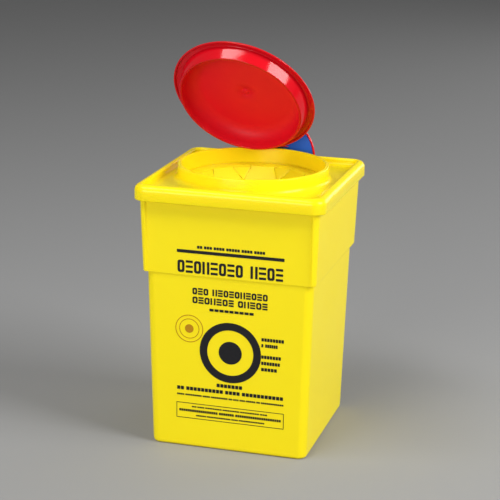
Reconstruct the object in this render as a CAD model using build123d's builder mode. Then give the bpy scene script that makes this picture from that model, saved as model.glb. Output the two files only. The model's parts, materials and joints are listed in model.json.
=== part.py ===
from build123d import *

import os
from math import cos, radians, sin, tan

# Sharps container: a square tapered tub with a snapped-on cover, a round collar with a ring of
# flexible guard fingers in its throat, and a round cap that a moulded strap ties to a hinge plate.
# Millimetres, +Z up, front towards -Y, origin at the centre of the flat base.

# Tub
BASE_HALF = 54.3  # half width at the floor
STEP_HALF = 57.3  # half width of the lower body where it meets the step
STEP_Z = 123.0
UPPER_HALF = 59.45  # half width of the upper body just above the step
BAND_HALF = 61.1  # half width under the cover's band
BAND_Z = 172.3
TUB_TOP = 176.2
LOWER_CORNER = 6.0
UPPER_CORNER = 4.5
WALL = 1.6
FLOOR = 2.2
FOOT_ROUND = 2.5
PANEL_SIDE = 56.4  # where the let-in panels stop, either side of the middle
PANEL_FOOT_DEPTH = 1.4
PANEL_HEAD_DEPTH = 1.6
STACK_GAP = 0.4

# Cover
RIM_HALF = 65.0
RIM_CORNER = 9.3
RIM_TOP = 182.8
RIM_WALL = 5.6
RIM_ROUND = 4.2  # the roll of the rim towards the outside
RIM_INNER_ROUND = 1.3
DECK_TOP = 178.0
DECK = 1.6
COLLAR_RADIUS = 51.3
COLLAR_WALL = 2.5
COLLAR_TOP = 188.6
LIP_ROUND = 0.6
LIP_GROOVE_RADIUS = 50.05  # a fine groove splits the lip into two ridges
LIP_GROOVE = 0.8
COLLAR_FOOT = 4.0
WELL_RADIUS = 41.0
WELL_SINK = 1.0  # the guard's flange lies in the well, this far below the deck

# Guard
THROAT_RADIUS = 38.4
GUARD_FLANGE_RADIUS = 47.9
GUARD_FLANGE = 1.2
GUARD_SKIRT_Z = 174.9
FINGERS = 8
GUARD_TURN = 5.7  # degrees, from +X to the middle of the first finger
FINGER_SLOPE = 50.0  # degrees below horizontal
FINGER_ROOT = 36.5
FINGER_ROOT_Z = 176.3
FINGER_LENGTH = 32.0
FINGER_SHEET = 1.2
VEE_LENGTH = 9.0
FINGER_ROOT_HALF = 7.8
SLIT = 0.6
TOOTH_GAP = 1.5
TOOTH_BITE = 0.6  # the teeth start this far inside the skirt

# Cap, drawn with its flange on the collar and swung open about the strap's fold
CAP_SEAT_Z = 189.0
CAP_RADIUS = 50.87
CAP_EDGE = 1.2
CAP_TOP = 6.2
CAP_SHEET = 1.6
PLUG_DEPTH = 8.4
PLUG_FOOT = 44.0
PLUG_ROOT = 46.0
PLUG_WALL = 1.7
DISH_ROUND = 10.0
BACK_ROUND = 7.0
GROOVE_RADIUS = 49.6
GROOVE_DEPTH = 1.3
MOULD_DRAFT = 0.3
FOLD_Y = 50.76
FOLD_Z = 188.04
FOLD_TURN = 4.6  # degrees, the fold's turn about Z
FOLD_RISE = 17.8  # degrees, the fold's rise towards +X, from the strap's twist
OPEN_ANGLE = 57.8

# Hinge plate and strap
PLATE_RADIUS = 28.3
PLATE_CENTRE_Z = 182.0
PLATE_Y = 58.3
PLATE_SHEET = 2.2
PLATE_BORDER = 1.2
INSET_DEPTH = 0.6
TONGUE_HALF = 18.0
TONGUE_DROP = 1.5
FIT_GAP = 0.1
STRAP_HALF = 9.0
STRAP_SHEET = 1.0
STRAP_Z = 188.6
STRAP_FRONT = 55.8

os.makedirs("parts", exist_ok=True)


def rounded_square(half, corner):
    """Sketch a square of the given half width, with rounded corners, on the active plane."""
    RectangleRounded(2 * half, 2 * half, corner)


def upper_half(z):
    """Half width of the upper body at height z."""
    return UPPER_HALF + (BAND_HALF - UPPER_HALF) * (z - STEP_Z) / (BAND_Z - STEP_Z)


# The tub: a lower body, a wider upper body and a snap bead inside the cover's band.
with BuildPart() as tub:
    with BuildSketch(Plane.XY):
        rounded_square(BASE_HALF, LOWER_CORNER)
    with BuildSketch(Plane.XY.offset(STEP_Z)):
        rounded_square(STEP_HALF, LOWER_CORNER)
    loft()
    fillet(tub.faces().sort_by(Axis.Z)[0].edges(), FOOT_ROUND)
    with BuildSketch(Plane.XY.offset(STEP_Z)):
        rounded_square(UPPER_HALF, UPPER_CORNER)
    with BuildSketch(Plane.XY.offset(TUB_TOP)):
        rounded_square(upper_half(TUB_TOP), UPPER_CORNER)
    loft()
    # Shallow panels let into the front and the back of the upper body.
    with BuildSketch(Plane.YZ.offset(-PANEL_SIDE)):
        for side in (-1, 1):
            with BuildLine():
                Polyline(
                    (side * (UPPER_HALF - PANEL_FOOT_DEPTH), STEP_Z),
                    (side * (BAND_HALF - PANEL_HEAD_DEPTH), BAND_Z),
                    (side * RIM_HALF, BAND_Z),
                    (side * RIM_HALF, STEP_Z),
                    close=True,
                )
            make_face()
    extrude(amount=2 * PANEL_SIDE, mode=Mode.SUBTRACT)
    # The inside follows the lower body, then widens above the step.
    with BuildSketch(Plane.XY.offset(FLOOR)):
        rounded_square(BASE_HALF - WALL, LOWER_CORNER - WALL)
    with BuildSketch(Plane.XY.offset(STEP_Z + WALL)):
        rounded_square(STEP_HALF - WALL, LOWER_CORNER - WALL)
    loft(mode=Mode.SUBTRACT)
    with BuildSketch(Plane.XY.offset(STEP_Z + WALL)):
        rounded_square(STEP_HALF - WALL, UPPER_CORNER - WALL)
    with BuildSketch(Plane.XY.offset(TUB_TOP)):
        rounded_square(upper_half(TUB_TOP) - PANEL_HEAD_DEPTH - WALL, UPPER_CORNER - WALL)
    loft(mode=Mode.SUBTRACT)
tub.part.label = "tub"
export_step(tub.part, "parts/tub.step")

# The cover: a band over the tub's edge, a sunk deck and the round collar.
with BuildPart() as top_cover:
    with BuildSketch(Plane.XY.offset(BAND_Z)):
        rounded_square(RIM_HALF, RIM_CORNER)
    extrude(amount=RIM_TOP - BAND_Z)
    fillet(top_cover.faces().sort_by(Axis.Z)[-1].edges(), RIM_ROUND)
    # The tray above the deck.
    with BuildSketch(Plane.XY.offset(DECK_TOP)):
        rounded_square(RIM_HALF - RIM_WALL, RIM_CORNER - RIM_WALL)
    extrude(amount=RIM_TOP - DECK_TOP, mode=Mode.SUBTRACT)
    fillet(top_cover.faces().sort_by(Axis.Z)[-1].inner_wires()[0].edges(), RIM_INNER_ROUND)
    # The pocket under the deck, for the tub's edge.
    with BuildSketch(Plane.XY.offset(BAND_Z)):
        rounded_square(BAND_HALF + STACK_GAP, UPPER_CORNER)
    extrude(amount=DECK_TOP - DECK - BAND_Z, mode=Mode.SUBTRACT)
    # The collar, with a rounded lip and a flared foot.
    with BuildSketch(Plane.XZ):
        with BuildLine():
            Polyline(
                (COLLAR_RADIUS - COLLAR_WALL, DECK_TOP - DECK),
                (COLLAR_RADIUS + COLLAR_FOOT, DECK_TOP - DECK),
                (COLLAR_RADIUS + COLLAR_FOOT, DECK_TOP),
            )
            RadiusArc(
                (COLLAR_RADIUS + COLLAR_FOOT, DECK_TOP),
                (COLLAR_RADIUS, DECK_TOP + COLLAR_FOOT),
                COLLAR_FOOT,
            )
            Polyline(
                (COLLAR_RADIUS, DECK_TOP + COLLAR_FOOT),
                (COLLAR_RADIUS, COLLAR_TOP),
                (COLLAR_RADIUS - COLLAR_WALL, COLLAR_TOP),
                (COLLAR_RADIUS - COLLAR_WALL, DECK_TOP - DECK),
            )
        make_face()
    revolve(axis=Axis.Z)
    lip = top_cover.edges().filter_by(GeomType.CIRCLE).group_by(Axis.Z)[-1]
    fillet(lip, LIP_ROUND)
    with BuildSketch(Plane.XZ):
        with Locations((LIP_GROOVE_RADIUS, COLLAR_TOP)):
            Circle(LIP_GROOVE / 2)
    revolve(axis=Axis.Z, mode=Mode.SUBTRACT)
    # The well in the collar, sunk for the guard's flange, and the throat below it.
    with BuildSketch(Plane.XY.offset(DECK_TOP - WELL_SINK)):
        Circle(COLLAR_RADIUS - COLLAR_WALL - FIT_GAP)
    extrude(amount=WELL_SINK, mode=Mode.SUBTRACT)
    with BuildSketch(Plane.XY.offset(BAND_Z)):
        Circle(WELL_RADIUS)
    extrude(amount=DECK_TOP - BAND_Z, mode=Mode.SUBTRACT)
    # The slot for the hinge plate in the rear of the rim, and the hole for its tongue.
    with BuildSketch(Plane.XY.offset(DECK_TOP)):
        with Locations((0, PLATE_Y + PLATE_SHEET / 2)):
            Rectangle(2 * (PLATE_RADIUS + FIT_GAP), PLATE_SHEET + 2 * FIT_GAP)
    extrude(amount=RIM_TOP - DECK_TOP, mode=Mode.SUBTRACT)
    with BuildSketch(Plane.XY.offset(DECK_TOP)):
        with Locations((0, PLATE_Y + PLATE_SHEET / 2)):
            Rectangle(2 * (TONGUE_HALF + FIT_GAP), PLATE_SHEET + 2 * FIT_GAP)
    extrude(amount=-DECK, mode=Mode.SUBTRACT)
top_cover.part.label = "top_cover"
export_step(top_cover.part, "parts/top_cover.step")


def cone_plane(steps, radius):
    """Plane of a leaf that many finger steps round: origin at its root, +Y down its slope."""
    a = radians(GUARD_TURN + steps * 360 / FINGERS)
    inward = Vector(-cos(a), -sin(a), 0)
    along = Vector(-sin(a), cos(a), 0)
    slope = inward * cos(radians(FINGER_SLOPE)) - Vector(0, 0, 1) * sin(radians(FINGER_SLOPE))
    return Plane(
        origin=(radius * cos(a), radius * sin(a), FINGER_ROOT_Z),
        x_dir=along,
        z_dir=along.cross(slope),
    )


def half_sector(run):
    """Half the width that a finger may take at a distance down the slope from its root."""
    radius = FINGER_ROOT - run * cos(radians(FINGER_SLOPE))
    return radius * tan(radians(180 / FINGERS)) - SLIT / 2


# The guard: a flange in the well, a short skirt, and a pointed tooth between every two fingers.
with BuildPart() as guard_ring:
    with BuildSketch(Plane.XY.offset(DECK_TOP - WELL_SINK)):
        Circle(GUARD_FLANGE_RADIUS)
    extrude(amount=GUARD_FLANGE)
    with BuildSketch(Plane.XY.offset(GUARD_SKIRT_Z)):
        Circle(WELL_RADIUS - FIT_GAP)
    extrude(amount=DECK_TOP - WELL_SINK - GUARD_SKIRT_Z)
    with BuildSketch(Plane.XY.offset(GUARD_SKIRT_Z)):
        Circle(THROAT_RADIUS)
    extrude(amount=DECK_TOP + GUARD_FLANGE - GUARD_SKIRT_Z, mode=Mode.SUBTRACT)
    tooth_root = THROAT_RADIUS * sin(radians(180 / FINGERS)) - FINGER_ROOT_HALF - TOOTH_GAP
    for index in range(FINGERS):
        with BuildSketch(cone_plane(index + 0.5, THROAT_RADIUS + TOOTH_BITE)):
            with BuildLine():
                Polyline((-tooth_root, 0), (0, VEE_LENGTH), (tooth_root, 0), close=True)
            make_face()
        extrude(amount=FINGER_SHEET / 2, both=True)
guard_ring.part.label = "guard_ring"
export_step(guard_ring.part, "parts/guard_ring.step")

# The fingers: sloping leaves that bend down at the root and spring back.
for index in range(FINGERS):
    with BuildPart() as finger:
        with BuildSketch(cone_plane(index, FINGER_ROOT)) as leaf:
            with BuildLine():
                Polyline(
                    (-FINGER_ROOT_HALF, 0),
                    (-half_sector(VEE_LENGTH), VEE_LENGTH),
                    (-half_sector(FINGER_LENGTH), FINGER_LENGTH),
                    (half_sector(FINGER_LENGTH), FINGER_LENGTH),
                    (half_sector(VEE_LENGTH), VEE_LENGTH),
                    (FINGER_ROOT_HALF, 0),
                    close=True,
                )
            make_face()
            fillet(leaf.vertices().group_by(Axis.Y)[-1], half_sector(FINGER_LENGTH) * 0.5)
        extrude(amount=FINGER_SHEET / 2, both=True)
    finger.part.label = f"guard_finger_{index + 1}"
    export_step(finger.part, f"parts/guard_finger_{index + 1}.step")

# The cap is drawn on the plane that its seat reaches when the strap holds it open.
fold_pivot = Vector(0, FOLD_Y, FOLD_Z)
fold = Axis(
    (0, FOLD_Y, FOLD_Z),
    (
        cos(radians(FOLD_RISE)) * cos(radians(FOLD_TURN)),
        cos(radians(FOLD_RISE)) * sin(radians(FOLD_TURN)),
        sin(radians(FOLD_RISE)),
    ),
)


def swung(direction):
    """Turn a direction of the closed cap to where the open cap holds it."""
    return Vector(direction).rotate(fold, -OPEN_ANGLE)


seat_centre = fold_pivot + swung(Vector(0, 0, CAP_SEAT_Z) - fold_pivot)
seat_x = swung((1, 0, 0))
seat_y = swung((0, 1, 0))
seat_up = swung((0, 0, 1))

# The cap: a flange that rests on the collar, a groove, a plug and a soft-cornered dish.
dish_corner = (PLUG_FOOT - PLUG_WALL - 2 * MOULD_DRAFT, CAP_TOP - CAP_SHEET)
with BuildPart() as cap:
    with BuildSketch(Plane(origin=seat_centre, x_dir=seat_x, z_dir=-seat_y)) as section:
        with BuildLine():
            Polyline(
                (0, CAP_TOP - CAP_SHEET),
                dish_corner,
                (PLUG_FOOT - PLUG_WALL, -PLUG_DEPTH),
                (PLUG_FOOT, -PLUG_DEPTH),
                (PLUG_ROOT, GROOVE_DEPTH),
                (GROOVE_RADIUS - MOULD_DRAFT, GROOVE_DEPTH),
                (GROOVE_RADIUS, 0),
                (CAP_RADIUS, 0),
                (CAP_RADIUS, CAP_EDGE),
                (PLUG_FOOT, CAP_TOP),
                (0, CAP_TOP),
                close=True,
            )
        make_face()
        fillet(section.vertices().sort_by_distance(dish_corner)[0], DISH_ROUND)
        fillet(section.vertices().sort_by_distance((PLUG_FOOT, CAP_TOP))[0], BACK_ROUND)
        fillet(section.vertices().sort_by_distance((CAP_RADIUS, CAP_EDGE))[0], CAP_EDGE / 3)
    revolve(axis=Axis(seat_centre, seat_up))
cap.part.label = "cap"
export_step(cap.part, "parts/cap.step")


def plate_outline(radius, foot_z):
    """Sketch a half-round tab on XZ, of the given radius, cut off level at foot_z."""
    with Locations((0, PLATE_CENTRE_Z)):
        Circle(radius)
    with Locations((0, foot_z - radius)):
        Rectangle(4 * radius, 2 * radius, mode=Mode.SUBTRACT)


# The hinge plate: a round-topped tab that stands in a slot behind the collar.
plate_back = Plane.XZ.offset(-PLATE_Y - PLATE_SHEET)
plate_front = Plane.XZ.offset(-PLATE_Y)
with BuildPart() as hinge_plate:
    with BuildSketch(plate_back):
        plate_outline(PLATE_RADIUS, DECK_TOP)
    extrude(amount=PLATE_SHEET)
    with BuildSketch(plate_front):
        plate_outline(PLATE_RADIUS - PLATE_BORDER, DECK_TOP + PLATE_BORDER)
    extrude(amount=-INSET_DEPTH, mode=Mode.SUBTRACT)
    with BuildSketch(Plane.XY.offset(DECK_TOP)):
        with Locations((0, PLATE_Y + PLATE_SHEET / 2)):
            Rectangle(2 * TONGUE_HALF, PLATE_SHEET)
    extrude(amount=-TONGUE_DROP)
hinge_plate.part.label = "hinge_plate"
export_step(hinge_plate.part, "parts/hinge_plate.step")

# The face of the plate: a thin coloured disc let into its front, around the strap's root.
with BuildPart() as plate_face:
    with BuildSketch(plate_front):
        plate_outline(PLATE_RADIUS - PLATE_BORDER, DECK_TOP + PLATE_BORDER)
        with Locations((0, STRAP_Z)):
            Rectangle(2 * (STRAP_HALF + FIT_GAP), STRAP_SHEET + 2 * FIT_GAP, mode=Mode.SUBTRACT)
    extrude(amount=-INSET_DEPTH)
plate_face.part.label = "plate_face"
export_step(plate_face.part, "parts/plate_face.step")

# The strap: a flexible tongue from the plate to the rear edge of the cap.
with BuildPart() as cap_strap:
    with BuildSketch(Plane.XZ.offset(-STRAP_FRONT)):
        with Locations((0, STRAP_Z)):
            Rectangle(2 * STRAP_HALF, STRAP_SHEET)
    extrude(amount=-(PLATE_Y + INSET_DEPTH - STRAP_FRONT))
cap_strap.part.label = "cap_strap"
export_step(cap_strap.part, "parts/cap_strap.step")
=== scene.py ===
import json
from math import atan, cos, pi, radians, sin, tan

import bmesh
import bpy
import numpy as np
from mathutils import Matrix, Vector


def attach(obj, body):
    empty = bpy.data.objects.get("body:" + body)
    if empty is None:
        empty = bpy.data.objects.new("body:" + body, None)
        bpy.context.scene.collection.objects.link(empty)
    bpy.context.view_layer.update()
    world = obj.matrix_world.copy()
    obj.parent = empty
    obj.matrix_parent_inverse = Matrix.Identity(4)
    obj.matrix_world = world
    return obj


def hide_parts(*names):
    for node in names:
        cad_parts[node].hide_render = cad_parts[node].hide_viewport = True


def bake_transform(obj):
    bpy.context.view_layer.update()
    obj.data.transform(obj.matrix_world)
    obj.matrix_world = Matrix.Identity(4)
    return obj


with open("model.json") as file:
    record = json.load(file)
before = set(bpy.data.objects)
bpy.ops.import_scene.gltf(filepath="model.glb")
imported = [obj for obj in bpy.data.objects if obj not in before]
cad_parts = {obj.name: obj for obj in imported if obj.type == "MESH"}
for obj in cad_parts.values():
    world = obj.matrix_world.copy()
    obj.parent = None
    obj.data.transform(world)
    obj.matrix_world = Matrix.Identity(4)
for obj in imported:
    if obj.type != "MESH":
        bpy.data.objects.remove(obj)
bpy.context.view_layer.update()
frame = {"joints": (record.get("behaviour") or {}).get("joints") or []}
MM = 0.001

# ---------------------------------------------------------------------------------------------
# Camera. A long lens a little above the rim, turned to show the front and the right side.
VIEW_AZIMUTH = radians(15.792)
VIEW_ELEVATION = radians(15.814)
VIEW_ROLL = radians(0.918)
VIEW_DISTANCE = 1.144846
VIEW_AIM = np.array([-0.001511, 0.0, 0.127111])
LENS = 119.757
SENSOR = 36.0

back = np.array([
    sin(VIEW_AZIMUTH) * cos(VIEW_ELEVATION),
    -cos(VIEW_AZIMUTH) * cos(VIEW_ELEVATION),
    sin(VIEW_ELEVATION),
])
level = np.array([cos(VIEW_AZIMUTH), sin(VIEW_AZIMUTH), 0.0])
upright = np.cross(back, level)
right = cos(VIEW_ROLL) * level + sin(VIEW_ROLL) * upright
up = -sin(VIEW_ROLL) * level + cos(VIEW_ROLL) * upright
spot = VIEW_AIM + back * VIEW_DISTANCE

camera_data = bpy.data.cameras.new("camera")
camera_data.lens = LENS
camera_data.sensor_width = SENSOR
camera = bpy.data.objects.new("camera", camera_data)
camera.matrix_world = Matrix([
    (right[0], up[0], back[0], spot[0]),
    (right[1], up[1], back[1], spot[1]),
    (right[2], up[2], back[2], spot[2]),
    (0.0, 0.0, 0.0, 1.0),
])
bpy.context.collection.objects.link(camera)
bpy.context.scene.camera = camera


# ---------------------------------------------------------------------------------------------
# Tub. Injection-moulded polypropylene, one thin-walled piece with draft, a wider upper body, and
# shallow panels let into the front and the back. It stands on its flat base.
BASE_HALF = 54.3
STEP_HALF = 57.3
STEP_Z = 123.0
UPPER_HALF = 59.45
BAND_HALF = 61.1
BAND_Z = 172.3
TUB_TOP = 176.2
LOWER_CORNER = 6.0
UPPER_CORNER = 4.5
WALL = 1.6
FLOOR = 2.2
FOOT_ROUND = 2.5
PANEL_SIDE = 56.4
PANEL_BLEND = 1.5
PANEL_FOOT = UPPER_HALF - 1.4
PANEL_HEAD = BAND_HALF - 1.6
PANEL_START_Z = STEP_Z - 0.2
MIDDLE_HALF = 1.0
MIDDLE_CORNER = 0.4


def linear(hex_colour):
    """An sRGB hex colour as linear red, green, blue and an alpha of 1."""
    parts = [int(hex_colour[i:i + 2], 16) / 255 for i in (1, 3, 5)]
    return [c / 12.92 if c <= 0.04045 else ((c + 0.055) / 1.055) ** 2.4 for c in parts] + [1.0]


def add(material, kind, settings=(), links=()):
    """Add one shader node: settings are (socket or attribute, value), links are (socket, output)."""
    node = material.node_tree.nodes.new(kind)
    for name, value in settings:
        if isinstance(name, int) or name in node.inputs:
            node.inputs[name].default_value = value
        else:
            setattr(node, name, value)
    for name, output in links:
        material.node_tree.links.new(output, node.inputs[name])
    return node


def new_material(name):
    """An empty node material with its output, ready for a shader."""
    material = bpy.data.materials.new(name)
    material.use_nodes = True
    material.node_tree.nodes.clear()
    return material


def moulded_plastic(name, colour, deep, roughness, grain_mm, bump_mm, gloss, glow=0.0):
    """Moulded plastic. Clouds about 38 mm wide drift between two tones and vary the roughness a
    little. Its relief is a third of the tool's grain added to flow waves about 17 mm wide. The share
    given as glow is light that spreads some 4 mm inside it, red the furthest."""
    material = new_material(name)
    place = add(material, "ShaderNodeTexCoord").outputs["Object"]
    cloud = add(
        material, "ShaderNodeTexNoise",
        [("Scale", 1 / (38 * MM)), ("Detail", 3.0), ("Roughness", 0.55)],
        [("Vector", place)],
    )
    tone = add(
        material, "ShaderNodeMix",
        [("data_type", "RGBA"), (6, linear(colour)), (7, linear(deep))],
        [(0, cloud.outputs["Fac"])],
    )
    grain = add(
        material, "ShaderNodeTexNoise",
        [("Scale", 1 / (grain_mm * MM)), ("Detail", 4.0), ("Roughness", 0.6)],
        [("Vector", place)],
    )
    flow = add(
        material, "ShaderNodeTexNoise",
        [("Scale", 1 / (17 * MM)), ("Detail", 1.0)],
        [("Vector", place)],
    )
    height = add(
        material, "ShaderNodeMath",
        [("operation", "MULTIPLY_ADD"), (1, 0.35)],
        [(0, grain.outputs["Fac"]), (2, flow.outputs["Fac"])],
    )
    relief = add(
        material, "ShaderNodeBump",
        [("Strength", 1.0), ("Distance", bump_mm * MM)],
        [("Height", height.outputs[0])],
    )
    sheen = add(
        material, "ShaderNodeMapRange",
        [("To Min", roughness - 0.04), ("To Max", roughness + 0.06)],
        [("Value", cloud.outputs["Fac"])],
    )
    shader = add(
        material, "ShaderNodeBsdfPrincipled",
        [
            ("IOR", 1.49), ("Specular IOR Level", gloss), ("Subsurface Weight", glow),
            ("Subsurface Radius", (1.0, 0.8, 0.25)), ("Subsurface Scale", 4 * MM),
        ],
        [("Base Color", tone.outputs[2]), ("Roughness", sheen.outputs[0]), ("Normal", relief.outputs[0])],
    )
    add(material, "ShaderNodeOutputMaterial", [], [("Surface", shader.outputs[0])])
    return material


def mesh_piece(name, vertices, faces, material):
    """A smooth-shaded mesh object from vertices in millimetres: doubles merged, faces outward."""
    mesh = bpy.data.meshes.new(name)
    mesh.from_pydata((np.asarray(vertices) * MM).tolist(), [], faces)
    work = bmesh.new()
    work.from_mesh(mesh)
    bmesh.ops.remove_doubles(work, verts=work.verts, dist=1e-7)
    bmesh.ops.recalc_face_normals(work, faces=work.faces)
    work.to_mesh(mesh)
    work.free()
    mesh.polygons.foreach_set("use_smooth", np.ones(len(mesh.polygons), dtype=bool))
    piece = bpy.data.objects.new(name, mesh)
    piece.data.materials.append(material)
    bpy.context.collection.objects.link(piece)
    return piece


def grid_faces(rows, columns, wrap_rows=False):
    """Quads of a grid whose columns join round, and whose rows join round too if wrap_rows."""
    down = np.arange(rows if wrap_rows else rows - 1)[:, None]
    across = np.arange(columns)[None, :]
    beside = (across + 1) % columns
    below = (down + 1) % rows
    quads = [
        down * columns + across, down * columns + beside, below * columns + beside, below * columns + across,
    ]
    return np.stack(quads, -1).reshape(-1, 4).tolist()


def end_faces(total, columns):
    """The two polygons that close a stack of rings: its first ring and its last."""
    return [list(range(columns)), list(range(total - columns, total))]


def arc(centre, radius, start, stop, count):
    """Points of a circular arc in a profile, from one angle to another, in degrees."""
    turn = np.radians(np.linspace(start, stop, count))
    return np.stack([centre[0] + radius * np.cos(turn), centre[1] + radius * np.sin(turn)], -1)


def quadrant():
    """Polar angles over a quarter turn, packed close together round the corner at 45 degrees."""
    spread = np.radians(np.concatenate([
        np.linspace(0, 34, 13)[:-1], np.linspace(34, 41, 12)[:-1], np.linspace(41, 45, 17)[:-1],
    ]))
    return np.concatenate([spread, [pi / 4], pi / 2 - spread[::-1][:-1]])


AROUND = np.concatenate([quadrant() + quarter * pi / 2 for quarter in range(4)])


def square_radius(half, corner):
    """Distance from the centre to a rounded square in each direction: the flat side's, or on the
    corner the far root of the circle whose centre is a corner radius in from both sides."""
    fold = np.abs((AROUND + pi / 4) % (pi / 2) - pi / 4)
    inset = half - corner
    side = half / np.cos(fold)
    middle = inset * (np.cos(fold) + np.sin(fold))
    bend = middle + np.sqrt(np.maximum(middle ** 2 - 2 * inset ** 2 + corner ** 2, 0))
    return np.where(half * np.tan(fold) <= inset, side, bend)


def square_rings(rows):
    """Rounded-square rings, one for each row (half width, corner radius, height)."""
    rings = []
    for half, corner, height in rows:
        reach = square_radius(half, corner)
        level = np.full(len(AROUND), height)
        rings.append(np.stack([reach * np.cos(AROUND), reach * np.sin(AROUND), level], -1))
    return np.array(rings)


def upper_half(height):
    """Half width of the upper body at a height."""
    return UPPER_HALF + (BAND_HALF - UPPER_HALF) * (height - STEP_Z) / (BAND_Z - STEP_Z)


def lower_half(height):
    """Half width of the lower body at a height."""
    return BASE_HALF + (STEP_HALF - BASE_HALF) * height / STEP_Z


def panel_half(height):
    """Distance of the let-in panel from the middle at a height."""
    return PANEL_FOOT + (PANEL_HEAD - PANEL_FOOT) * (height - STEP_Z) / (BAND_Z - STEP_Z)


def smooth_step(value, low, high):
    """0 below low, 1 above high, and a smooth cubic between."""
    t = np.clip((value - low) / (high - low), 0, 1)
    return t * t * (3 - 2 * t)


# Yellow polypropylene from a fine spark-eroded tool: a satin skin with soft wide reflections. Light
# gets a little way in, so shaded faces stay warm. The tool's grain is drawn coarse enough to show.
satin_yellow = moulded_plastic(
    "satin_yellow_polypropylene", "#F8E116", "#F7DE12",
    roughness=0.3, grain_mm=0.9, bump_mm=0.04, gloss=0.2, glow=0.16,
)

foot = arc((BASE_HALF - FOOT_ROUND, FOOT_ROUND), FOOT_ROUND, -90, 0, 9)
outside = [(MIDDLE_HALF, MIDDLE_CORNER, 0.0), (BASE_HALF - FOOT_ROUND - 6, LOWER_CORNER - FOOT_ROUND, 0.0)]
outside += [(x, LOWER_CORNER + x - BASE_HALF, z) for x, z in foot]
outside += [(lower_half(z), LOWER_CORNER, z) for z in (5.0, 20.0, 60.0, 100.0, 118.0, 121.6)]
outside += [
    (STEP_HALF, LOWER_CORNER, STEP_Z - 0.45),
    (STEP_HALF + 0.1, LOWER_CORNER - 0.1, STEP_Z - 0.12),
    (STEP_HALF + 0.4, LOWER_CORNER - 0.3, STEP_Z),
    (UPPER_HALF - 0.38, UPPER_CORNER, STEP_Z),
    (UPPER_HALF - 0.12, UPPER_CORNER, STEP_Z + 0.12),
    (UPPER_HALF, UPPER_CORNER, STEP_Z + 0.4),
]
outside += [(upper_half(z), UPPER_CORNER, z) for z in np.linspace(STEP_Z + 1.2, TUB_TOP - 0.4, 16)]
inside = [
    (upper_half(TUB_TOP) - 0.4, UPPER_CORNER, TUB_TOP),
    (PANEL_HEAD - WALL + 0.4, UPPER_CORNER, TUB_TOP),
    (PANEL_HEAD - WALL, UPPER_CORNER, TUB_TOP - 0.4),
    (PANEL_FOOT - WALL, UPPER_CORNER, STEP_Z + 4.0),
    (STEP_HALF - WALL, LOWER_CORNER - WALL, STEP_Z + 1.0),
    (BASE_HALF - WALL, LOWER_CORNER - WALL, FLOOR + 3.0),
    (BASE_HALF - WALL - 0.8, LOWER_CORNER - WALL - 0.8, FLOOR + 0.8),
    (BASE_HALF - WALL - 3.0, LOWER_CORNER - WALL - 3.0, FLOOR),
    (MIDDLE_HALF, MIDDLE_CORNER, FLOOR),
]
tub_rings = square_rings(outside + inside)
outer = tub_rings[:len(outside)]
reach_x = np.abs(outer[..., 0])
depth_y = np.abs(outer[..., 1])
plane = panel_half(outer[..., 2])
let_in = smooth_step(-reach_x, -PANEL_SIDE - PANEL_BLEND / 2, -PANEL_SIDE + PANEL_BLEND / 2)
let_in = np.where(outer[..., 2] >= PANEL_START_Z, let_in, 0.0)
depth_y = depth_y - let_in * np.maximum(depth_y - plane, 0)
outer[..., 1] = np.sign(outer[..., 1]) * depth_y
tub_points = tub_rings.reshape(-1, 3)
columns = len(AROUND)
tub_faces = grid_faces(len(tub_rings), columns) + end_faces(len(tub_points), columns)
tub = mesh_piece("tub_shell", tub_points, tub_faces, satin_yellow)
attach(tub, "base")
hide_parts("tub")


# ---------------------------------------------------------------------------------------------
# Cover. Moulded in the same yellow polypropylene and snapped over the tub's edge: a rolled rim
# band, a sunk deck, and a round collar with a flared foot and a lip that the cap shuts on.
RIM_HALF = 65.0
RIM_CORNER = 9.3
RIM_TOP = 182.8
RIM_WALL = 5.6
RIM_ROUND = 4.2
RIM_VALLEY = 2.6
DECK_TOP = 178.0
DECK = 1.6
COLLAR_RADIUS = 51.3
COLLAR_WALL = 2.5
COLLAR_TOP = 188.6
LIP_ROUND = 0.6
LIP_GROOVE_RADIUS = 50.05
LIP_GROOVE = 0.4
COLLAR_FOOT = 4.0
WELL_SINK = 1.0
WELL_RADIUS = 41.0
POCKET_HALF = BAND_HALF + 0.4
COLLAR_INSIDE = COLLAR_RADIUS - COLLAR_WALL


def ring_rows(profile, corner_of=None):
    """Rows of a profile: a circle where corner_of is None, or else a square of that corner radius."""
    return [(r, r if corner_of is None else corner_of, z) for r, z in profile]


# The same polypropylene from a polished part of the tool, so the rim and the collar catch brighter
# streaks than the tub does.
glossy_yellow = moulded_plastic(
    "glossy_yellow_polypropylene", "#F8E116", "#F7DE12",
    roughness=0.24, grain_mm=0.9, bump_mm=0.04, gloss=0.2, glow=0.35,
)

rim_inside = RIM_HALF - RIM_WALL
rim_profile = np.concatenate([
    arc((RIM_HALF - 0.6, BAND_Z + 0.6), 0.6, -90, 0, 4),
    arc((RIM_HALF - RIM_ROUND, RIM_TOP - RIM_ROUND), RIM_ROUND, 0, 90, 13),
    arc((rim_inside + 1.4, RIM_TOP - 1.4), 1.4, 90, 180, 7),
    arc((rim_inside - RIM_VALLEY, DECK_TOP + RIM_VALLEY), RIM_VALLEY, 0, -90, 8),
])
foot_profile = arc((COLLAR_RADIUS + COLLAR_FOOT, DECK_TOP + COLLAR_FOOT), COLLAR_FOOT, -90, -180, 9)
lip_profile = np.concatenate([
    arc((COLLAR_RADIUS - LIP_ROUND, COLLAR_TOP - LIP_ROUND), LIP_ROUND, 0, 90, 6),
    arc((LIP_GROOVE_RADIUS, COLLAR_TOP), LIP_GROOVE, -20, -160, 6),
    arc((COLLAR_INSIDE + LIP_ROUND, COLLAR_TOP - LIP_ROUND), LIP_ROUND, 90, 180, 6),
    arc((COLLAR_INSIDE - 0.5, DECK_TOP - WELL_SINK + 0.5), 0.5, 0, -90, 4),
])
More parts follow.
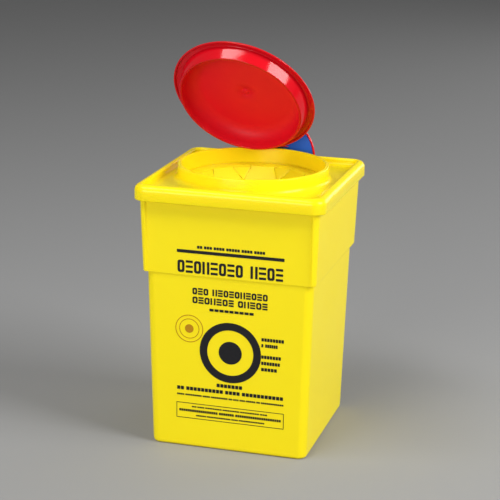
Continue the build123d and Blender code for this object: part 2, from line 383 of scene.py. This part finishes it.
cover_rows = [(r, max(RIM_CORNER + r - RIM_HALF, RIM_CORNER - RIM_WALL), z) for r, z in rim_profile]
cover_rows += ring_rows(foot_profile) + ring_rows(lip_profile)
cover_rows += ring_rows([
    (WELL_RADIUS + 0.3, DECK_TOP - WELL_SINK),
    (WELL_RADIUS, DECK_TOP - WELL_SINK - 0.3),
    (WELL_RADIUS, DECK_TOP - DECK),
    (COLLAR_RADIUS, DECK_TOP - DECK),
])
cover_rows += ring_rows([(POCKET_HALF, DECK_TOP - DECK), (POCKET_HALF, BAND_Z)], UPPER_CORNER)
cover_rings = square_rings(cover_rows)
cover_faces = grid_faces(len(cover_rings), columns, wrap_rows=True)
cover = mesh_piece("cover_shell", cover_rings.reshape(-1, 3), cover_faces, glossy_yellow)
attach(cover, "base")
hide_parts("top_cover")


# ---------------------------------------------------------------------------------------------
# Guard. A softer moulding in the same yellow, pressed into the well: a flange, a short skirt and
# a pointed tooth between every two fingers.
THROAT_RADIUS = 38.4
GUARD_FLANGE_RADIUS = 47.9
GUARD_TOP = DECK_TOP - WELL_SINK + 1.2
GUARD_SKIRT_Z = 174.9
FINGERS = 8
GUARD_TURN = radians(5.7)
FINGER_SLOPE = radians(50.0)
FINGER_ROOT = 36.5
FINGER_ROOT_Z = 176.3
FINGER_LENGTH = 32.0
FINGER_SHEET = 1.2
VEE_LENGTH = 9.0
ROOT_HALF = 8.3
SLIT = 0.35
TOOTH_GAP = 0.2
TOOTH_ROOT = FINGER_ROOT + 0.8
TOOTH_REACH = 1.5
GUARD_COLUMNS = 144
LEAF_COLUMNS = 28

# Yellow low-density polyethylene: a duller, waxier skin than the cover's, with more light inside it.
guard_yellow = moulded_plastic(
    "moulded_yellow_polyethylene", "#F8E01C", "#F6DC14",
    roughness=0.38, grain_mm=0.8, bump_mm=0.05, gloss=0.2, glow=0.5,
)


def lathe(profile, count):
    """A closed profile of (radius, height) turned about the Z axis."""
    turn = np.linspace(0, 2 * pi, count, endpoint=False)
    radius = profile[:, 0][:, None]
    rings = np.stack([
        radius * np.cos(turn), radius * np.sin(turn), np.repeat(profile[:, 1][:, None], count, 1),
    ], -1)
    return rings.reshape(-1, 3)


guard_profile = np.concatenate([
    arc((GUARD_FLANGE_RADIUS - 0.3, GUARD_TOP - 0.3), 0.3, 0, 90, 4),
    arc((THROAT_RADIUS + 0.5, GUARD_TOP - 0.5), 0.5, 90, 180, 5),
    [(THROAT_RADIUS, GUARD_SKIRT_Z + 0.2), (THROAT_RADIUS + 0.2, GUARD_SKIRT_Z)],
    [(WELL_RADIUS - 0.3, GUARD_SKIRT_Z), (WELL_RADIUS - 0.1, GUARD_SKIRT_Z + 0.2)],
    [(WELL_RADIUS - 0.1, DECK_TOP - WELL_SINK), (GUARD_FLANGE_RADIUS, DECK_TOP - WELL_SINK)],
])


def slope_frame(azimuth, radius):
    """Root point of a leaf on the cone and its directions: along its root, down, and out of its face."""
    inward = np.array([-cos(azimuth), -sin(azimuth), 0.0])
    along = np.array([-sin(azimuth), cos(azimuth), 0.0])
    down = inward * cos(FINGER_SLOPE) - np.array([0, 0, sin(FINGER_SLOPE)])
    root = np.array([radius * cos(azimuth), radius * sin(azimuth), FINGER_ROOT_Z])
    return root, along, down, np.cross(along, down)


def leaf_mesh(azimuth, radius, runs, halves, sheet, dish=0.0):
    """A leaf with rounded edges: across each run, a flat oval of the leaf's width and sheet
    thickness, raised at its sides by the dish."""
    root, along, down, face = slope_frame(azimuth, radius)
    turn = np.linspace(0, 2 * pi, LEAF_COLUMNS, endpoint=False)
    bulge = np.sign(np.cos(turn)) * np.abs(np.cos(turn)) ** 0.35
    thick = np.sign(np.sin(turn)) * np.abs(np.sin(turn)) ** 0.55
    across = halves[:, None] * bulge
    lift = sheet / 2 * thick + dish * bulge ** 2
    slope = (runs[:, None] * np.ones_like(across))[..., None] * down
    points = (root + across[..., None] * along + slope + lift[..., None] * face).reshape(-1, 3)
    return points, grid_faces(len(runs), LEAF_COLUMNS) + end_faces(len(points), LEAF_COLUMNS)


guard_points = [lathe(guard_profile, GUARD_COLUMNS)]
guard_faces = [grid_faces(len(guard_profile), GUARD_COLUMNS, wrap_rows=True)]
tooth_half = TOOTH_ROOT * tan(pi / FINGERS - atan(ROOT_HALF / FINGER_ROOT)) - TOOTH_GAP
tooth_runs = np.linspace(-TOOTH_REACH, VEE_LENGTH, 14)
tooth_halves = tooth_half * np.clip(1 - tooth_runs / VEE_LENGTH, 0.04, 1.05)
for index in range(FINGERS):
    points, faces = leaf_mesh(
        GUARD_TURN + (index + 0.5) * 2 * pi / FINGERS, TOOTH_ROOT, tooth_runs, tooth_halves, FINGER_SHEET,
    )
    start = sum(len(p) for p in guard_points)
    guard_points.append(points)
    guard_faces.append([[v + start for v in face] for face in faces])
guard = mesh_piece("guard_flange", np.concatenate(guard_points), sum(guard_faces, []), guard_yellow)
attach(guard, "base")
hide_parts("guard_ring")


# ---------------------------------------------------------------------------------------------
# Guard fingers. Eight leaves of the same soft moulding, each joined to the ring by a thin web,
# where the real guard bends so a leaf gives way downwards and springs back. The leaves are drawn at rest.
WEB_REACH = 2.2
FINGER_TIP = 3.0
FINGER_DISH = 0.25


def half_sector(run):
    """Half the width that a finger may take at a distance down the slope from its root."""
    return (FINGER_ROOT - run * cos(FINGER_SLOPE)) * tan(pi / FINGERS) - SLIT / 2


def finger_half(run):
    """Half width of a finger: widening from its root to the tooth's point, then following its sector
    to a round tip."""
    edge = np.where(
        run < VEE_LENGTH,
        ROOT_HALF + (half_sector(VEE_LENGTH) - ROOT_HALF) * np.clip(run, 0, None) / VEE_LENGTH,
        half_sector(run),
    )
    into_tip = np.clip((run - (FINGER_LENGTH - FINGER_TIP)) / FINGER_TIP, 0, 1)
    return edge - FINGER_TIP * (1 - np.sqrt(1 - 0.98 * into_tip ** 2))


finger_runs = np.concatenate([
    np.linspace(-WEB_REACH, VEE_LENGTH, 14), np.linspace(10, 28.5, 12), np.linspace(29, FINGER_LENGTH, 9),
])
for index in range(FINGERS):
    azimuth = GUARD_TURN + index * 2 * pi / FINGERS
    points, faces = leaf_mesh(
        azimuth, FINGER_ROOT, finger_runs, finger_half(finger_runs), FINGER_SHEET, FINGER_DISH,
    )
    finger = mesh_piece(f"finger_leaf_{index + 1}", points, faces, guard_yellow)
    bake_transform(finger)
    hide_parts(f"guard_finger_{index + 1}")


# ---------------------------------------------------------------------------------------------
# Cap. Injection-moulded red polypropylene: a flange with a thin lip, a groove, a tapered plug
# and a dished inside with the gate's mark in the middle. It shuts into the collar.
CAP_SEAT_Z = 189.0
CAP_RADIUS = 50.87
CAP_EDGE = 1.2
CAP_TOP = 6.2
CAP_SHEET = 1.6
PLUG_DEPTH = 8.4
PLUG_FOOT = 44.0
PLUG_ROOT = 46.0
PLUG_WALL = 1.7
DISH_ROUND = 10.0
BACK_ROUND = 7.0
GROOVE_RADIUS = 49.6
GROOVE_DEPTH = 1.3
GATE_RADIUS = 2.9
CAP_COLUMNS = 192

# Red polypropylene from a polished tool: sharp, bright reflections on the plug and the flange.
red = moulded_plastic(
    "moulded_red_polypropylene_gloss", "#D40C1C", "#CA0A19",
    roughness=0.12, grain_mm=1.6, bump_mm=0.012, gloss=0.35,
)
# The same red where the tool is etched: a matt dish without a clear reflection.
red_textured = moulded_plastic(
    "moulded_red_polypropylene_textured", "#E41226", "#DA1024",
    roughness=0.45, grain_mm=0.6, bump_mm=0.05, gloss=0.2,
)

joint = next(j for j in frame["joints"] if j["name"] == "cap_open")
fold_point = Vector(joint["pos_m"]) / MM
fold_axis = Vector(joint["axis"])
open_turn = radians(-min(joint["range_deg"]))
turn_open = Matrix.Rotation(open_turn, 4, fold_axis)
swing = np.array(Matrix.Translation(fold_point) @ turn_open @ Matrix.Translation(-fold_point))


def swung(points):
    """Points of the closed cap turned about the fold to where the open cap holds them."""
    return np.asarray(points) @ swing[:3, :3].T + swing[:3, 3]


panel = CAP_TOP - CAP_SHEET
inner_foot = PLUG_FOOT - PLUG_WALL
inner_root = inner_foot - 0.6
cap_profile = np.concatenate([
    [(0.001, panel - 0.3), (0.7, panel - 0.3), (1.2, panel), (GATE_RADIUS - 0.7, panel)],
    [(GATE_RADIUS - 0.4, panel + 0.35), (GATE_RADIUS, panel + 0.5), (GATE_RADIUS + 0.4, panel + 0.35)],
    [(GATE_RADIUS + 0.7, panel)],
    [(10.0, panel), (22.0, panel)],
    arc((inner_root - DISH_ROUND, panel - DISH_ROUND), DISH_ROUND, 90, 3, 14),
    arc((inner_foot + 0.45, -PLUG_DEPTH + 0.45), 0.45, 180, 270, 4),
    arc((PLUG_FOOT - 0.45, -PLUG_DEPTH + 0.45), 0.45, 270, 355, 4),
    [(PLUG_FOOT + 0.85, -PLUG_DEPTH + 4.6), (PLUG_FOOT + 1.05, -PLUG_DEPTH + 5.1)],
    arc((PLUG_ROOT + 0.5, GROOVE_DEPTH - 0.5), 0.5, 172, 90, 4),
    arc((GROOVE_RADIUS - 0.6, GROOVE_DEPTH - 0.4), 0.4, 90, 10, 4),
    arc((GROOVE_RADIUS + 0.3, 0.3), 0.3, 190, 270, 4),
    arc((CAP_RADIUS - 0.35, 0.35), 0.35, -90, 0, 4),
    arc((CAP_RADIUS - 0.5, CAP_EDGE - 0.5), 0.5, 0, 55, 5),
    arc((PLUG_FOOT - 2.2, CAP_TOP - BACK_ROUND), BACK_ROUND, 38, 90, 8),
    [(30.0, CAP_TOP), (12.0, CAP_TOP), (0.001, CAP_TOP)],
])
cap_profile[:, 1] += CAP_SEAT_Z
cap_points = swung(lathe(cap_profile, CAP_COLUMNS))
cap = mesh_piece("cap_shell", cap_points, grid_faces(len(cap_profile), CAP_COLUMNS), red)
cap.data.materials.append(red_textured)
unswing = Matrix(np.linalg.inv(swing).tolist())
for polygon in cap.data.polygons:
    centre = unswing @ (polygon.center / MM)
    if centre.xy.length < inner_foot - 0.05 and centre.z < CAP_SEAT_Z + panel + 0.8:
        polygon.material_index = 1
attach(cap, "cap")
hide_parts("cap")


# ---------------------------------------------------------------------------------------------
# Hinge plate. A round-topped red tab of the same polypropylene as the cap, pressed into a slot
# behind the collar. Its front is let in, with a raised border, and the strap grows out of it.
PLATE_RADIUS = 28.3
PLATE_CENTRE_Z = 182.0
PLATE_Y = 58.3
PLATE_SHEET = 2.2
PLATE_BORDER = 1.2
INSET_DEPTH = 0.6
PLATE_MIDDLE = 12.0


def tab_rings(rows):
    """Rings of a half-round tab that stands on the deck: each row is (inset from the outline, Y).
    The outline is an arc above the foot line and a straight line along it."""
    rings = []
    for inset, y in rows:
        radius = PLATE_RADIUS - inset
        low = DECK_TOP + inset
        start = np.arcsin(np.clip((low - PLATE_CENTRE_Z) / radius, -1, 1))
        turn = np.linspace(start, pi - start, 72)
        x, z = radius * np.cos(turn), PLATE_CENTRE_Z + radius * np.sin(turn)
        line = np.linspace(x[-1], x[0], 26)[1:-1]
        x, z = np.concatenate([x, line]), np.concatenate([z, np.full(len(line), low)])
        rings.append(np.stack([x, np.full(len(x), y), z], -1))
    return np.array(rings)


plate_front = PLATE_Y
plate_back = PLATE_Y + PLATE_SHEET
plate_rings = tab_rings([
    (PLATE_MIDDLE, plate_front + INSET_DEPTH), (PLATE_BORDER, plate_front + INSET_DEPTH),
    (PLATE_BORDER - 0.1, plate_front + 0.25), (PLATE_BORDER - 0.25, plate_front + 0.05),
    (0.5, plate_front), (0.25, plate_front + 0.08), (0.08, plate_front + 0.25), (0.0, plate_front + 0.5),
    (0.0, plate_back - 0.5), (0.08, plate_back - 0.25), (0.25, plate_back - 0.08), (0.5, plate_back),
    (PLATE_MIDDLE, plate_back),
])
plate_columns = plate_rings.shape[1]
plate_points = plate_rings.reshape(-1, 3)
plate_faces = grid_faces(len(plate_rings), plate_columns) + end_faces(len(plate_points), plate_columns)
plate = mesh_piece("hinge_tab", plate_points, plate_faces, red)
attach(plate, "base")
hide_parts("hinge_plate")


# ---------------------------------------------------------------------------------------------
# Plate face. A thin blue disc with the plate's own outline, moulded in the same plastic and pressed
# into the let-in front of the hinge plate.

# Blue polypropylene, finely etched: an even matt colour with a faint sheen.
blue = moulded_plastic(
    "moulded_blue_polypropylene", "#1C56BC", "#1A50B0",
    roughness=0.4, grain_mm=0.9, bump_mm=0.04, gloss=0.2,
)

face_rings = tab_rings([
    (PLATE_MIDDLE, plate_front + INSET_DEPTH), (PLATE_BORDER + 0.12, plate_front + INSET_DEPTH),
    (PLATE_BORDER + 0.12, plate_front + 0.32), (PLATE_BORDER + 0.2, plate_front + 0.2),
    (PLATE_BORDER + 0.4, plate_front + 0.14), (PLATE_MIDDLE, plate_front + 0.1),
])
face_points = face_rings.reshape(-1, 3)
face_faces = grid_faces(len(face_rings), plate_columns) + end_faces(len(face_points), plate_columns)
face_disc = mesh_piece("plate_disc", face_points, face_faces, blue)
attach(face_disc, "base")
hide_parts("plate_face")


# ---------------------------------------------------------------------------------------------
# Strap. A thin flexible red tongue that is moulded in one with the hinge plate and with the cap's
# flange. It bends and twists, and so carries the cap from the collar to where it leans open.
STRAP_HALF = 9.0
STRAP_SHEET = 1.0
STRAP_Z = 188.6
STRAP_BOW = 2.2
STRAP_COLUMNS = 32
CAP_BITE = 1.4
CAP_JOIN_Z = CAP_SEAT_Z + 1.1

# The strap's middle line is a cubic curve that leaves the plate forwards and the cap outwards. Its
# section is a flat oval, turned evenly from the plate's direction to the cap's.
join_y = CAP_RADIUS - CAP_BITE
cap_join, beside_join, beyond_join = swung([
    [0.0, join_y, CAP_JOIN_Z], [1.0, join_y, CAP_JOIN_Z], [0.0, join_y + 1.0, CAP_JOIN_Z],
])
cap_along = beside_join - cap_join
cap_out = beyond_join - cap_join
plate_end = np.array([0.0, PLATE_Y + INSET_DEPTH, STRAP_Z])
t = np.linspace(0, 1, 20)[:, None]
path = (
    (1 - t) ** 3 * plate_end
    + 3 * (1 - t) ** 2 * t * (plate_end - np.array([0, STRAP_BOW, 0]))
    + 3 * (1 - t) * t ** 2 * (cap_join + STRAP_BOW * cap_out)
    + t ** 3 * cap_join
)
along = (1 - t) * np.array([1.0, 0, 0]) + t * cap_along
along /= np.linalg.norm(along, axis=1)[:, None]
tangent = np.gradient(path, axis=0)
tangent /= np.linalg.norm(tangent, axis=1)[:, None]
normal = np.cross(along, tangent)
turn = np.linspace(0, 2 * pi, STRAP_COLUMNS, endpoint=False)
wide = np.sign(np.cos(turn)) * np.abs(np.cos(turn)) ** 0.3
thick = np.sign(np.sin(turn)) * np.abs(np.sin(turn)) ** 0.6
strap_points = (
    path[:, None, :] + (STRAP_HALF * wide)[None, :, None] * along[:, None, :]
    + (STRAP_SHEET / 2 * thick)[None, :, None] * normal[:, None, :]
).reshape(-1, 3)
strap_faces = grid_faces(len(path), STRAP_COLUMNS) + end_faces(len(strap_points), STRAP_COLUMNS)
strap = mesh_piece("strap_web", strap_points, strap_faces, red)
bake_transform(strap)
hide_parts("cap_strap")


# ---------------------------------------------------------------------------------------------
# Print. Pad print on the front, black with one badge in ochre: plain bars for the lines of type,
# plain rings for the marks and a plain ruled box. The ink film is drawn thick enough to stand off.
INK_FILM = 0.12
INK_GAP = 0.02
CIRCLE_POINTS = 72
FRAME, STACK, PAIR, SOLID = range(4)


def pad_print_ink(name, dark, light):
    """A matt film of printing ink, mottled between two tones."""
    material = new_material(name)
    place = add(material, "ShaderNodeTexCoord").outputs["Object"]
    mottle = add(
        material, "ShaderNodeTexNoise", [("Scale", 1 / (2.5 * MM)), ("Detail", 3.0)], [("Vector", place)],
    )
    tone = add(
        material, "ShaderNodeMix",
        [("data_type", "RGBA"), (6, linear(dark)), (7, linear(light))],
        [(0, mottle.outputs["Fac"])],
    )
    shader = add(
        material, "ShaderNodeBsdfPrincipled",
        [("Roughness", 0.5), ("Specular IOR Level", 0.2)],
        [("Base Color", tone.outputs[2])],
    )
    add(material, "ShaderNodeOutputMaterial", [], [("Surface", shader.outputs[0])])
    return material


# Carbon-black printing ink: nearly black, matt, and slightly uneven where the pad has pressed it.
black_ink = pad_print_ink("black_pad_print_ink", "#101013", "#19181C")
# Ochre printing ink: a dull golden brown that stands out little from the yellow.
ochre_ink = pad_print_ink("ochre_pad_print_ink", "#A87405", "#C08A0A")


def front_y(z):
    """Y of the front wall's surface at a height: the lower body's, or the let-in panel's."""
    return -np.where(z > PANEL_START_Z, panel_half(z), lower_half(z))


def ink_film(outline, hole=None):
    """A thin film on the front wall inside an outline of (x, z) points. It is a ring between the
    outline and a hole of as many points, or else a plate closed by two end polygons."""
    rings = [outline] if hole is None else [outline, hole]
    layers = [
        np.stack([ring[:, 0], front_y(ring[:, 1]) - gap, ring[:, 1]], -1)
        for gap in (INK_GAP, INK_GAP + INK_FILM) for ring in rings
    ]
    count = len(outline)
    if hole is None:
        return np.concatenate(layers), grid_faces(2, count) + end_faces(2 * count, count)
    back_edge, back_hole, front_edge, front_hole = layers
    loop = [back_edge, back_hole, front_hole, front_edge]
    return np.concatenate(loop), grid_faces(len(loop), count, wrap_rows=True)


def bar_outline(x0, z0, x1, z1, corner):
    """A rounded rectangle as an outline of (x, z) points."""
    corner = min(corner, (x1 - x0) / 2.01, (z1 - z0) / 2.01)
    centres = [
        (x1 - corner, z1 - corner), (x0 + corner, z1 - corner),
        (x0 + corner, z0 + corner), (x1 - corner, z0 + corner),
    ]
    return np.concatenate([
        arc(centre, corner, 90 * quarter, 90 * quarter + 90, 4) for quarter, centre in enumerate(centres)
    ])


def circle_outline(x, z, radius):
    """A circle as an outline of (x, z) points."""
    return arc((x, z), radius, 0, 360 * (1 - 1 / CIRCLE_POINTS), CIRCLE_POINTS)


def ink_ring(x, z, radius, width):
    """A ring of ink: a circle with a smaller circle left out of it."""
    return ink_film(circle_outline(x, z, radius), circle_outline(x, z, radius - width))


def ink_piece(name, films, ink=black_ink):
    """Join several ink films into one flat-shaded piece that rides on the tub."""
    points, faces, start = [], [], 0
    for film_points, film_faces in films:
        points.append(film_points)
        faces += [[v + start for v in face] for face in film_faces]
        start += len(film_points)
    piece = mesh_piece(name, np.concatenate(points), faces, ink)
    piece.data.shade_flat()
    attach(piece, "base")


def filler(x, z, width, height, form):
    """One plain block in place of a character: a frame, a stack of bars, a pair of bars or a solid."""
    x1, z0, z1 = x + width, z - height / 2, z + height / 2
    stroke = min(height * 0.24, width * 0.34)
    if form == FRAME:
        hole = bar_outline(x + stroke, z0 + stroke, x1 - stroke, z1 - stroke, stroke / 2)
        return [ink_film(bar_outline(x, z0, x1, z1, stroke), hole)]
    if form == STACK:
        lifts = (z0, z - stroke / 2, z1 - stroke)
        return [ink_film(bar_outline(x, low, x1, low + stroke, 0.1)) for low in lifts]
    if form == PAIR:
        return [ink_film(bar_outline(left, z0, left + stroke, z1, 0.1)) for left in (x, x1 - stroke)]
    return [ink_film(bar_outline(x, z0, x1, z1, height * 0.12))]


def type_line(x0, x1, z, height, words, forms=(FRAME, STACK, FRAME, PAIR, STACK)):
    """Plain blocks that stand for a line of type between x0 and x1, so many to each word. The space
    between two words is half the height, and the rest is shared evenly."""
    space = height * 0.5
    pitch = (x1 - x0 - space * (len(words) - 1)) / sum(words)
    films, x, count = [], x0, 0
    for letters in words:
        for _ in range(letters):
            films += filler(x, z, pitch * 0.84, height, forms[count % len(forms)])
            x += pitch
            count += 1
        x += space
    return films


def small_lines(height, *lines):
    """Solid blocks in place of small type: each line is (start, end, height above the base, words)."""
    return sum([type_line(x0, x1, z, height, words, (SOLID,)) for x0, x1, z, words in lines], [])


ink_piece(
    "print_fill_line",
    [ink_film(bar_outline(-35.0, 138.4, 38.4, 140.6, 0.3))]
    + small_lines(1.9, (-21.0, 25.6, 143.0, [2, 3, 4, 5, 4, 4])),
)
ink_piece("print_title", type_line(-34.6, 38.5, 129.0, 8.6, [8, 4]))
ink_piece(
    "print_heading",
    type_line(-24.5, 27.8, 112.2, 4.6, [3, 10]) + type_line(-24.5, 27.8, 106.0, 4.6, [7, 5])
    + small_lines(1.8, (-12.7, 18.3, 100.0, [9])),
)
ink_piece("print_side_notes", small_lines(
    2.3,
    (23.3, 38.9, 83.0, [8]), (23.3, 34.6, 78.8, [1, 6]),
    (23.3, 37.0, 70.8, [7]), (23.3, 36.4, 66.4, [7]), (23.3, 34.4, 62.0, [5]),
))
ink_piece(
    "print_foot_notes",
    small_lines(2.5, (-7.6, 10.6, 47.0, [7]), (-35.5, 39.0, 42.5, [2, 10, 4, 11]))
    + small_lines(1.2, (-35.5, 39.1, 37.9, [4, 9, 4, 9, 2, 3, 3, 5, 2, 12])),
)

BOX_LEFT, BOX_RIGHT = -36.0, 39.3
BOX_LOW, BOX_HIGH = 20.8, 32.0
BOX_LINE = 0.4
BOX_JOIN = 0.1
post_low = BOX_LOW + BOX_LINE + BOX_JOIN
post_high = BOX_HIGH - BOX_LINE - BOX_JOIN
ink_piece(
    "print_box",
    [
        ink_film(bar_outline(BOX_LEFT, BOX_HIGH - BOX_LINE, BOX_RIGHT, BOX_HIGH, 0.1)),
        ink_film(bar_outline(BOX_LEFT, BOX_LOW, BOX_RIGHT, BOX_LOW + BOX_LINE, 0.1)),
        ink_film(bar_outline(BOX_LEFT, post_low, BOX_LEFT + BOX_LINE, post_high, 0.1)),
        ink_film(bar_outline(BOX_RIGHT - BOX_LINE, post_low, BOX_RIGHT, post_high, 0.1)),
    ]
    + small_lines(1.0, (-25.0, 28.0, 29.5, [2, 3, 7, 7, 8, 3]))
    + small_lines(1.7, (-34.0, 37.5, 26.5, [18, 7, 21]))
    + small_lines(1.0, (-22.0, 26.0, 23.3, [6, 14, 4, 15])),
)

MARK = (1.8, 71.0)
BADGE = (-26.8, 85.4)
ink_piece("print_mark", [ink_ring(*MARK, 21.3, 5.3), ink_film(circle_outline(*MARK, 8.0))])
ink_piece(
    "print_badge",
    [ink_ring(*BADGE, 9.7, 0.5), ink_ring(*BADGE, 7.0, 0.45), ink_film(circle_outline(*BADGE, 3.0))],
    ochre_ink,
)


# ---------------------------------------------------------------------------------------------
# Studio. A wide, flat floor of pale paper, a dim even surround, and soft light from large lamps
# above, in front, to the right and behind.
FLOOR_REACH = 40.0


def soft_lamp(name, place, aim, size, power):
    """An area lamp of a given (width, height) in metres at place, pointed at aim."""
    data = bpy.data.lights.new(name, "AREA")
    data.shape = "RECTANGLE"
    data.size, data.size_y = size
    data.energy = power
    lamp = bpy.data.objects.new(name, data)
    lamp.location = place
    lamp.rotation_euler = (Vector(aim) - Vector(place)).to_track_quat("-Z", "Y").to_euler()
    bpy.context.collection.objects.link(lamp)


# Uncoated grey paper: no gloss, so the shadow under the tub stays soft and clear.
floor_material = new_material("pale_studio_paper")
floor_shader = add(
    floor_material, "ShaderNodeBsdfPrincipled", [("Base Color", linear("#989898")), ("Roughness", 0.8)],
)
add(floor_material, "ShaderNodeOutputMaterial", [], [("Surface", floor_shader.outputs[0])])
floor_mesh = bpy.data.meshes.new("floor")
floor_corners = [(x * FLOOR_REACH, y * FLOOR_REACH, 0) for x, y in ((-1, -1), (1, -1), (1, 1), (-1, 1))]
floor_mesh.from_pydata(floor_corners, [], [(0, 1, 2, 3)])
floor_mesh.materials.append(floor_material)
floor = bpy.data.objects.new("floor", floor_mesh)
bpy.context.collection.objects.link(floor)

soft_lamp("top_lamp", (-0.4, -0.6, 1.4), (0, 0, 0.16), (0.9, 0.34), 9.5)
soft_lamp("front_lamp", (-0.5, -2.1, 0.55), (0, 0, 0.12), (1.3, 0.9), 25)
soft_lamp("right_lamp", (1.35, -0.27, 0.98), (0, 0, 0.14), (0.8, 0.8), 24)
soft_lamp("back_lamp", (1.1, 1.7, 0.5), (0, 0, 0.12), (1.2, 0.8), 9)

world = bpy.data.worlds.new("studio")
world.use_nodes = True
world.node_tree.nodes["Background"].inputs[0].default_value = linear("#C8C8C8")
world.node_tree.nodes["Background"].inputs[1].default_value = 0.3
bpy.context.scene.world = world
bpy.context.scene.view_settings.view_transform = "Standard"
